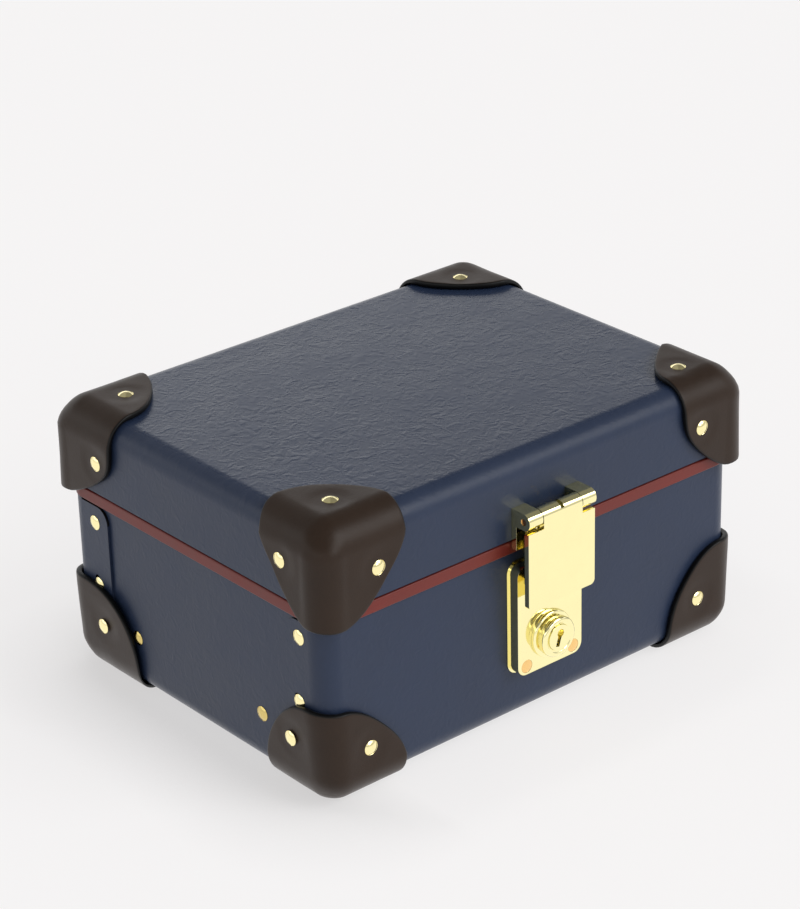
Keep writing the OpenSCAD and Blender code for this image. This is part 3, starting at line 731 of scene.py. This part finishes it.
def build_corner(node, spots, lobes, cuts, seed):
    """One moulded leather corner, lifted a little between its rivets."""
    lid = node.startswith("lid")
    low, high = (np.array(corner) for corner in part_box(node))
    sign = np.sign((low + high) / 2 - MIDDLE)
    skin = sizes().edge_radius + SKIN_GAP
    outside = skin + OVER_BOARDS
    centre = np.where(sign > 0, high, low) - sign * outside
    heads = [(np.array(spot) - centre) * sign for spot in spots]
    for head in heads:
        head[head.argmax()] = outside

    bm = spun(leather_profile(), 120)
    place = np.array([v.co for v in bm.verts])
    radius = np.hypot(place[:, 0], place[:, 1])
    turn = np.arctan2(place[:, 1], place[:, 0])
    layer = place[:, 2]
    start = np.full(3, RAYS_FROM)
    tilt = outline_tilt(turn, start, skin, np.array(lobes) * MM, cut_slopes(cuts)) * radius
    point, normal = on_skin(aimed(tilt, turn), start, skin)

    lift = stand_off(point + normal * OVER_BOARDS, normal, heads, lid)
    apart = Vector((seed * WAVE_APART, 0, 0))
    waves = np.array([noise.noise(Vector(p * WAVE_SCALE) + apart) for p in point])
    lift = np.maximum(lift + waves * WAVE_DEPTH * (radius < EVEN_RIM), -PRESSED * (1 - layer))
    thick = thickness(point, normal, lid)
    local = point + normal * (SKIN_GAP + layer * thick + lift)[:, None]
    if not lid:
        local[:, 2] = np.minimum(local[:, 2], outside - (1 - layer) * sizes().leather)

    rim = bm.verts.layers.float.new("rim")
    dyed = np.where(layer > 0.5, (radius - DYE_FROM) / DYE_FADE, 1.0).clip(0, 1)
    for vert, co, dye in zip(bm.verts, centre + local * sign, dyed):
        vert.co = co
        vert[rim] = dye
    bmesh.ops.recalc_face_normals(bm, faces=bm.faces)
    shade(bm, 80.0)
    add_piece(node + "_moulded", bm, node)


# For each corner, in millimetres from the middle of the box's rounded corner: how far the
# lobes reach along X, Y and Z, and where the slanting edges on the X, Y and Z faces would
# meet the two lines along those faces.
CORNERS = {
    "lid_corner_front_left": ((29.2, 26.3, 30.3), (24.3, 31.8, 32.4, 35.3, 35.8, 35.3)),
    "lid_corner_front_right": ((23.0, 27.5, 30.2), (34.0, 34.0, 33.0, 32.0, 30.5, 26.8)),
    "lid_corner_back_left": ((28.1, 27.0, 28.7), (45.0, 28.1, 34.0, 34.0, 32.0, 37.3)),
    "lid_corner_back_right": ((27.5, 27.0, 29.5), (34.0, 34.0, 34.0, 34.0, 33.0, 33.0)),
    "base_corner_front_left": ((27.3, 25.6, 29.0), (31.6, 40.2, 32.8, 33.3, 34.3, 34.0)),
    "base_corner_front_right": ((27.0, 26.5, 30.5), (34.0, 33.0, 34.0, 40.0, 34.0, 34.0)),
    "base_corner_back_left": ((27.5, 32.5, 29.4), (44.0, 47.8, 34.0, 33.0, 34.0, 34.0)),
    "base_corner_back_right": ((27.5, 27.0, 29.0), (34.0, 33.0, 34.0, 33.0, 34.0, 34.0)),
}


def cut_slopes(cuts):
    """One over each slanting edge's crossing points, as [axis][face]."""
    slopes = np.zeros((3, 3))
    for face, axis, value in zip((0, 0, 1, 1, 2, 2), (1, 2, 0, 2, 0, 1), cuts):
        slopes[axis][face] = 1 / (value * MM)
    return slopes


class CASE_OT_leather_corners(bpy.types.Operator):
    """Moulds the eight leather corners over the boards' rounded corners"""

    bl_idname = "case.leather_corners"
    bl_label = "Leather corners"

    def execute(self, context):
        nodes = ("lid_corner_rivets", "base_corner_rivets", "foot_rivets")
        middles = [rivet.centre for node in nodes for rivet in rivets_of(node)]
        for seed, (node, (lobes, cuts)) in enumerate(CORNERS.items()):
            low, high = (np.array(corner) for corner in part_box(node))
            near = [m for m in middles if np.all(m > low - MM) and np.all(m < high + MM)]
            if len(near) != 3:
                raise RuntimeError(f"{node} has {len(near)} rivets near it")
            build_corner(node, near, lobes, cuts, seed)
        return {"FINISHED"}


# ---------- brass ----------

# Where listed rivets sit, in millimetres. The rivet nearest to a spot moves to it, but
# stays where it is along its own axis, so that value only helps to find it.
HAND_SET = {
    "lid_corner_rivets": ((-105, -55.4, 95.4), (-105, 53.9, 93.5), (-78.9, -80, 92.0),
                          (79.6, -80, 93.9), (-83.8, -58.8, 111), (-83.6, 61.6, 111),
                          (82.7, 61.4, 111), (82.8, -61.9, 111)),
    "base_corner_rivets": ((-104, -56.2, 24.3), (-104, 57.9, 23.3), (-83.2, -78, 20.8),
                           (81.3, -78, 20.0)),
    "flap_rivets": ((-101, 62.0, 65.1), (-101, 62.2, 38.8), (-101, -60.2, 65.7),
                    (-101, -59.2, 39.5)),
    "side_rivets": ((-100, 40.4, 23.9), (-100, -35.6, 24.0)),
}

Rivet = namedtuple("Rivet", "centre axis outward radius length")


def rivets_of(node):
    """A node's rivets, with the listed ones in their places."""
    rivets = []
    for low, high in loose_parts(node):
        size, centre = high - low, (low + high) / 2
        gaps = [abs(size[(a + 1) % 3] - size[(a + 2) % 3]) for a in range(3)]
        axis = int(np.argmin(gaps))
        outward = 1.0 if centre[axis] > MIDDLE[axis] else -1.0
        rivets.append(Rivet(centre, axis, outward, size[(axis + 1) % 3] / 2, size[axis]))
    for spot in HAND_SET.get(node, ()):
        spot = np.array(spot) * MM
        rivet = min(rivets, key=lambda r: np.linalg.norm(r.centre - spot))
        for axis in range(3):
            if axis != rivet.axis:
                rivet.centre[axis] = spot[axis]
    return rivets


def domed_rivets(node, finish=None, dome=1.1 * MM, raised=0.0):
    """Turns smooth domed heads, each with its shank, in place of a node's rivets."""
    merged = bmesh.new()
    for rivet in rivets_of(node):
        bm = spun(dome_profile(rivet.radius, dome, rivet.length + raised), 40)
        ahead = Vector([rivet.outward if a == rivet.axis else 0.0 for a in range(3)])
        top = Vector(rivet.centre) + ahead * (rivet.length / 2 + raised)
        turn = ahead.to_track_quat("Z", "Y").to_matrix().to_4x4()
        bmesh.ops.transform(bm, matrix=Matrix.Translation(top) @ turn, verts=bm.verts)
        mesh = new_mesh("rivet", bm)
        merged.from_mesh(mesh)
        bpy.data.meshes.remove(mesh)
    shade(merged, 50.0)
    add_piece(node + "_domed", merged, node, finish)


def dome_profile(radius, dome, depth, steps=12, rounded=0.97, rim=(0.86, 0.98)):
    """From the top of the head out over its dome, round its rim and down the shank."""
    ball = (radius**2 + dome**2) / (2 * dome)
    shank = min(1.4 * MM, radius * 0.6)
    over = [radius * rounded * k / steps for k in range(steps + 1)]
    profile = [(r, math.sqrt(ball**2 - r**2) - ball) for r in over]
    profile += [(radius, -dome * share) for share in rim]
    return profile + [(radius * rounded, -dome), (shank, -dome), (shank, -depth), (0.0, -depth)]


class CASE_OT_rivets(bpy.types.Operator):
    """Turns the domed rivets of the leather, the boards, the hinges and the bracket"""

    bl_idname = "case.rivets"
    bl_label = "Rivets"

    def execute(self, context):
        for node in ("lid_corner_rivets", "base_corner_rivets", "foot_rivets", "flap_rivets",
                     "side_rivets", "base_hinge_rivets", "lid_hinge_rivets", "bracket_rivets"):
            domed_rivets(node)
        return {"FINISHED"}


class CASE_OT_hasp(bpy.types.Operator):
    """Builds the hasp plate, its bracket and its pin"""

    bl_idname = "case.hasp"
    bl_label = "Hasp"

    def execute(self, context):
        soften_node("hasp_plate", sizes().hasp_edge, 3)
        soften_node("hasp_bracket", sizes().hasp_edge, 3)
        dress_node("hasp_pin")
        return {"FINISHED"}


class CASE_OT_lock(bpy.types.Operator):
    """Builds the lock case, its cylinder, plug and bolt"""

    bl_idname = "case.lock"
    bl_label = "Lock"

    def execute(self, context):
        soften_node("lock_case", sizes().lock_edge, 3)
        soften_node("lock_plug", sizes().plug_edge)
        domed_rivets("lock_rivets", "amber_brass", dome=0.45 * MM, raised=0.3 * MM)
        self.cylinder()
        dress_node("lock_back_plate", "lock_bolt")
        return {"FINISHED"}

    def cylinder(self):
        """Turns the stepped cylinder from its radii and heights in millimetres."""
        low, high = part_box("lock_cylinder")
        profile = [(5.15, 0), (9.4, 0), (9.4, 0.9), (9.25, 1.3), (8.9, 1.55), (8.4, 1.62),
                   (7.7, 1.68), (7.35, 1.8), (7.35, 2.2), (7.5, 2.4), (7.85, 2.5), (8.0, 2.7),
                   (8.0, 4.1), (7.9, 4.55), (7.6, 4.95), (7.2, 5.2), (6.8, 5.28), (6.4, 5.3),
                   (6.1, 5.2), (5.9, 5.02), (5.7, 4.94), (5.4, 4.9), (5.15, 4.8)]
        tallest = max(z for r, z in profile)
        depth = high.y - low.y
        bm = spun([(r * MM, z / tallest * depth) for r, z in profile], 96, closed=True)
        turn = Matrix.Rotation(math.radians(90), 4, "X")
        back = Vector(((low.x + high.x) / 2, high.y, (low.z + high.z) / 2))
        bmesh.ops.transform(bm, matrix=Matrix.Translation(back) @ turn, verts=bm.verts)
        shade(bm)
        add_piece("lock_cylinder_turned", bm, "lock_cylinder")


class CASE_OT_hinges(bpy.types.Operator):
    """Builds the hinge leaves and pins at the back"""

    bl_idname = "case.hinges"
    bl_label = "Hinges"

    def execute(self, context):
        for side in ("left", "right"):
            soften_node("base_hinge_leaf_" + side, sizes().hinge_edge)
            soften_node("lid_hinge_leaf_" + side, sizes().hinge_edge)
            dress_node("hinge_pin_" + side)
        return {"FINISHED"}


# ---------- inside ----------

CROWNING = 0.6  # how full a cushion's crown is: lower is fuller
AIR_PRESSURE = 4.0  # of the cloth that fills a cushion
AIR_FRAMES = 20  # how long it fills
SWELL_SCALE = 110  # swellings of a ring roll per metre
SWELL_APART = 9.1  # from one roll's place in the noise to the next
SWELL_DEPTH, DRAWN_IN = 0.07, 0.02  # shares of a roll's radius


class CASE_OT_lining(bpy.types.Operator):
    """Lines the base and the lid, and covers the dividers and the ring shelf"""

    bl_idname = "case.lining"
    bl_label = "Lining"

    def execute(self, context):
        soften_node("base_lining", sizes().lining_edge)
        soften_node("lid_lining", sizes().lining_edge)
        for node in ("long_divider", "front_divider", "back_divider"):
            soften_node(node, sizes().divider_edge, 4)
        soften_node("ring_shelf", sizes().shelf_edge, 3)
        return {"FINISHED"}


def soft_box(low, high, cuts, pull_in, smoothing):
    """A closed cushion between two corners: crowned faces, and edges that pull in."""
    bm = bmesh.new()
    bmesh.ops.create_cube(bm, size=2.0)
    bmesh.ops.subdivide_edges(bm, edges=bm.edges, cuts=cuts, use_grid_fill=True)
    middle, half = (low + high) / 2, (high - low) / 2
    for vert in bm.verts:
        p = vert.co.copy()
        crown = [math.cos(p[a] * math.pi / 2) ** CROWNING for a in range(3)]
        for axis in range(3):
            others = [crown[a] for a in range(3) if a != axis]
            pull = 1 - pull_in[axis] * (1 - others[0] * others[1])
            vert.co[axis] = p[axis] * pull
        vert.co = Vector(middle[a] + vert.co[a] * half[a] for a in range(3))
    bmesh.ops.smooth_vert(bm, verts=bm.verts, factor=smoothing, use_axis_x=True,
                          use_axis_y=True, use_axis_z=True)
    return bm


def inflated(bm, voxel, cap):
    """Fills a closed cushion with air by a short cloth simulation, up to a cap."""
    scene = bpy.context.scene
    slack = add_object("slack", new_mesh("slack", bm))
    remesh = slack.modifiers.new("remesh", "REMESH")
    remesh.mode, remesh.voxel_size = "VOXEL", voxel
    slack.data = evaluated_mesh(slack)
    slack.modifiers.clear()
    start = [vert.co.copy() for vert in slack.data.vertices]
    cloth = slack.modifiers.new("cloth", "CLOTH")
    cloth.settings.use_pressure = True
    cloth.settings.uniform_pressure_force = AIR_PRESSURE
    cloth.settings.effector_weights.gravity = 0.0
    cloth.point_cache.frame_start, cloth.point_cache.frame_end = 1, AIR_FRAMES
    for moment in range(1, AIR_FRAMES + 1):
        scene.frame_set(moment)
    settled = bmesh.new()
    settled.from_mesh(evaluated_mesh(slack))
    bpy.data.objects.remove(slack)
    scene.frame_set(1)
    for vert, place in zip(settled.verts, start):
        move = vert.co - place
        vert.co = place + move * min(1.0, cap / max(move.length, 1e-9))
    return settled


def evaluated_mesh(piece):
    """A new mesh with the piece's modifiers applied."""
    graph = bpy.context.evaluated_depsgraph_get()
    return bpy.data.meshes.new_from_object(piece.evaluated_get(graph))


def fit_between(bm, low, high):
    """Scales a bmesh along each axis until it just fills a box."""
    for axis in range(3):
        values = [vert.co[axis] for vert in bm.verts]
        least, most = min(values), max(values)
        scale = (high[axis] - low[axis]) / (most - least)
        for vert in bm.verts:
            vert.co[axis] = low[axis] + (vert.co[axis] - least) * scale


def add_cushion(name, bm, node):
    """Turns a bmesh into a padded piece with one subdivision."""
    bmesh.ops.recalc_face_normals(bm, faces=bm.faces)
    shade(bm, 80.0)
    piece = add_piece(name, bm, node)
    smoother = piece.modifiers.new("smooth", "SUBSURF")
    smoother.levels = smoother.render_levels = 1


class CASE_OT_cushions(bpy.types.Operator):
    """Builds the padded ring rolls and the padded panel in the lid"""

    bl_idname = "case.cushions"
    bl_label = "Cushions"

    def execute(self, context):
        for number in range(1, 6):
            self.roll(f"ring_roll_{number}", number)
        self.lid_pad()
        return {"FINISHED"}

    def lid_pad(self):
        """A panel that is crowned where it shows, and cut flat where it meets the lid."""
        low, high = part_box("lid_pad")
        bm = soft_box(low, high, cuts=30, pull_in=(0.01, 0.012, 0.35), smoothing=0.4)
        bm = inflated(bm, voxel=2.2 * MM, cap=3 * MM)
        fit_between(bm, low, high + Vector((0, 0, (high.z - low.z) * 0.7)))
        for vert in bm.verts:
            vert.co.z = min(vert.co.z, high.z)
        add_cushion("lid_pad_crowned", bm, "lid_pad")

    def roll(self, node, seed):
        """A ring roll: a turned cushion along X, with crowned ends and a few swellings."""
        low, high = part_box(node)
        centre = (low + high) / 2
        reach, radius = (high.x - low.x) / 2, (high.z - low.z) / 2
        ends = [(0.0, -1.0), (0.25, -0.995), (0.55, -0.992), (0.8, -0.985), (0.93, -0.972),
                (0.985, -0.95)]
        straight, steps, ripple = 0.92, 44, 0.0075
        body = [(0.985 + ripple * math.cos(k * 0.9), -straight + 2 * straight * k / steps)
                for k in range(steps + 1)]
        profile = ends + body + [(r, -z) for r, z in reversed(ends)]
        bm = spun([(r * radius, z * reach) for r, z in profile], 40)
        turn = Matrix.Rotation(math.radians(90), 4, "Y")
        bmesh.ops.transform(bm, matrix=Matrix.Translation(centre) @ turn, verts=bm.verts)
        bm = inflated(bm, voxel=1.6 * MM, cap=1 * MM)
        fit_between(bm, low, high)
        apart = Vector((0, seed * SWELL_APART, 0))
        for vert in bm.verts:
            swell = noise.noise(vert.co * SWELL_SCALE + apart)
            outward = Vector((0, vert.co.y - centre.y, vert.co.z - centre.z))
            vert.co += outward * min(0.0, swell * SWELL_DEPTH - DRAWN_IN)
            vert.co.z = max(vert.co.z, low.z)
        add_cushion(node + "_padded", bm, node)


class CASE_OT_mirror(bpy.types.Operator):
    """Builds the framed mirror in the lid"""

    bl_idname = "case.mirror"
    bl_label = "Mirror"

    def execute(self, context):
        soften_node("mirror_frame", sizes().frame_edge, 3)
        dress_node("mirror_glass")
        return {"FINISHED"}


# ---------- stage ----------

CAMERA_PLACE = (-0.6501, -0.7747, 0.56675)
CAMERA_ANGLES = (39.88, 25.615, -1.506)  # degrees: turned right, tilted down and rolled
CAMERA_LENS, SENSOR_WIDTH = 117.3, 36  # millimetres
TO_RIGHT = (0.767, -0.641)  # the camera's right, along the floor
WORLD_LIGHT, WORLD_SEEN = 0.52, 0.89  # how bright the world is to the case and to the camera
FLOOR_DROP = 0.02 * MM  # below the feet
FLOOR_GLOW = 0.74  # how much of the floor the camera sees as plain white
FLOOR_IN_GLOSS = 1.15  # how bright the floor is in gloss


def add_lamp(name, kind, energy, ahead):
    """A lamp that shines along a direction."""
    data = bpy.data.lights.new(name, kind)
    data.energy = energy
    lamp = add_object(name, data)
    lamp.rotation_euler = ahead.to_track_quat("-Z", "Y").to_euler()
    return lamp


class CASE_OT_stage(bpy.types.Operator):
    """Sets up the floor, the world, the lamps and the camera"""

    bl_idname = "case.stage"
    bl_label = "Stage"

    def execute(self, context):
        scene = context.scene
        scene.view_settings.view_transform = "Standard"
        self.floor()
        self.world(scene)
        self.lamps()
        self.camera(scene)
        return {"FINISHED"}

    def floor(self):
        bm = bmesh.new()
        bmesh.ops.create_grid(bm, x_segments=2, y_segments=2, size=6.0)
        bmesh.ops.translate(bm, verts=bm.verts, vec=(0, 0, -FLOOR_DROP))
        floor = add_object("floor", new_mesh("floor", bm))
        floor.data.materials.append(self.paper())

    def paper(self):
        """White paper with pale shadows, and a painted contact shadow left of the case."""
        material, tree, shader, place = new_finish("floor_paper")
        body = mottled(tree, place, (0.90, 0.89, 0.89), amount=0.004, scale=3.0)
        feed(tree, shader, {"Base Color": body["Colour"], "Roughness": 0.9,
                            "Specular IOR Level": 0.1})
        # Painted shade: ambient occlusion dims the floor's white glow near the case, only on its
        # left side, as a painted contact shadow.
        near = put(tree, "ShaderNodeAmbientOcclusion", {"Distance": 50 * MM}, samples=8)
        contact = spread(tree, near.outputs["AO"], (0.35, 1.0), (0.66, 1.0))
        across = put(tree, "ShaderNodeSeparateXYZ", {0: place}).outputs["X"]
        not_left = spread(tree, across, (-130 * MM, -70 * MM), (0.6, 0.97))
        painted_shade_level = maths(tree, "MAXIMUM", contact, not_left)
        from_camera, shiny = ray_kinds(tree)
        strength = maths(tree, "MAXIMUM", times(tree, shiny, FLOOR_IN_GLOSS), painted_shade_level)
        white = put(tree, "ShaderNodeEmission", {"Color": (1.0, 0.985, 0.985, 1.0),
                                                 "Strength": strength})
        glow = plus(tree, times(tree, from_camera, FLOOR_GLOW), shiny)
        share = maths(tree, "MINIMUM", glow, 1.0)
        both = put(tree, "ShaderNodeMixShader",
                   {0: share, 1: shader.outputs[0], 2: white.outputs[0]})
        ends = [node for node in tree.nodes if node.bl_idname == "ShaderNodeOutputMaterial"]
        feed(tree, ends[0], {"Surface": both.outputs[0]})
        return material

    def world(self, scene):
        """A pale studio. Gloss shows a bright band 20 to 28 degrees up, a dim ceiling over
        it, and less light to the right.
        """
        world = bpy.data.worlds.new("studio")
        scene.world = world
        world.use_nodes = True
        tree = world.node_tree
        tree.nodes.clear()
        direction = put(tree, "ShaderNodeTexCoord").outputs["Generated"]
        parts = put(tree, "ShaderNodeSeparateXYZ", {0: direction}).outputs
        aside = plus(tree, times(tree, parts["X"], TO_RIGHT[0]),
                     times(tree, parts["Y"], TO_RIGHT[1]))
        ceiling = spread(tree, parts["Z"], (0.375, 0.475), (2.0, 0.32))
        sides = spread(tree, aside, (-0.08, 0.08), (1.1, 0.74))
        low_down = spread(tree, parts["Z"], (0.2, 0.36), (0.45, 1.0))
        in_gloss = times(tree, times(tree, ceiling, sides), low_down)
        from_camera, shiny = ray_kinds(tree)
        plain = switched(tree, from_camera, WORLD_LIGHT, WORLD_SEEN)
        strength = switched(tree, shiny, plain, in_gloss)
        back = put(tree, "ShaderNodeBackground", {"Color": (1.0, 1.0, 1.0, 1.0),
                                                  "Strength": strength})
        put(tree, "ShaderNodeOutputWorld", {0: back.outputs[0]})

    def lamps(self):
        """A wide sun from the front right, and a soft lamp in front."""
        sun = add_lamp("key", "SUN", 1.15, Vector((-0.45, 0.7, -0.65)))
        sun.data.angle = math.radians(32)
        place, target = Vector((0.1, -1.5, 0.7)), Vector((0, 0, 0.06))
        soft = add_lamp("front_soft", "AREA", 3.0, target - place)
        soft.data.size = 0.5
        soft.location = place

    def camera(self, scene):
        turn, tilt, roll = (math.radians(angle) for angle in CAMERA_ANGLES)
        ahead = Vector((math.sin(turn) * math.cos(tilt), math.cos(turn) * math.cos(tilt),
                        -math.sin(tilt)))
        right = ahead.cross(Vector((0, 0, 1))).normalized()
        up = right.cross(ahead)
        tipped = right * math.cos(roll) + up * math.sin(roll)
        upward = up * math.cos(roll) - right * math.sin(roll)
        data = bpy.data.cameras.new("camera")
        data.lens, data.sensor_width = CAMERA_LENS, SENSOR_WIDTH
        camera = add_object("camera", data)
        matrix = Matrix((tipped, upward, -ahead)).transposed().to_4x4()
        camera.matrix_world = Matrix.Translation(Vector(CAMERA_PLACE)) @ matrix
        scene.camera = camera


# ---------- add-on ----------

STEPS = (CASE_OT_boards, CASE_OT_rim_band, CASE_OT_leather_corners, CASE_OT_rivets, CASE_OT_hasp,
         CASE_OT_lock, CASE_OT_hinges, CASE_OT_lining, CASE_OT_cushions, CASE_OT_mirror,
         CASE_OT_stage)


class CASE_PT_panel(bpy.types.Panel):
    """Lists the case's sizes, colours and building steps"""

    bl_label = "Jewellery case"
    bl_idname = "CASE_PT_panel"
    bl_space_type = "VIEW_3D"
    bl_region_type = "UI"
    bl_category = "Case"

    def draw(self, context):
        for group in (context.scene.case_sizes, context.scene.case_colours):
            box = self.layout.box()
            for key in group.__annotations__:
                box.prop(group, key)
        for step in STEPS:
            self.layout.operator(step.bl_idname)


CLASSES = (CaseSizes, CaseColours, *STEPS, CASE_PT_panel)


def register():
    for cls in CLASSES:
        bpy.utils.register_class(cls)
    bpy.types.Scene.case_sizes = PointerProperty(type=CaseSizes)
    bpy.types.Scene.case_colours = PointerProperty(type=CaseColours)


def unregister():
    del bpy.types.Scene.case_colours
    del bpy.types.Scene.case_sizes
    for cls in reversed(CLASSES):
        bpy.utils.unregister_class(cls)


def main():
    """Runs every step in order."""
    register()
    for step in STEPS:
        group, name = step.bl_idname.split(".")
        getattr(getattr(bpy.ops, group), name)()


if __name__ == "__main__":
    main()
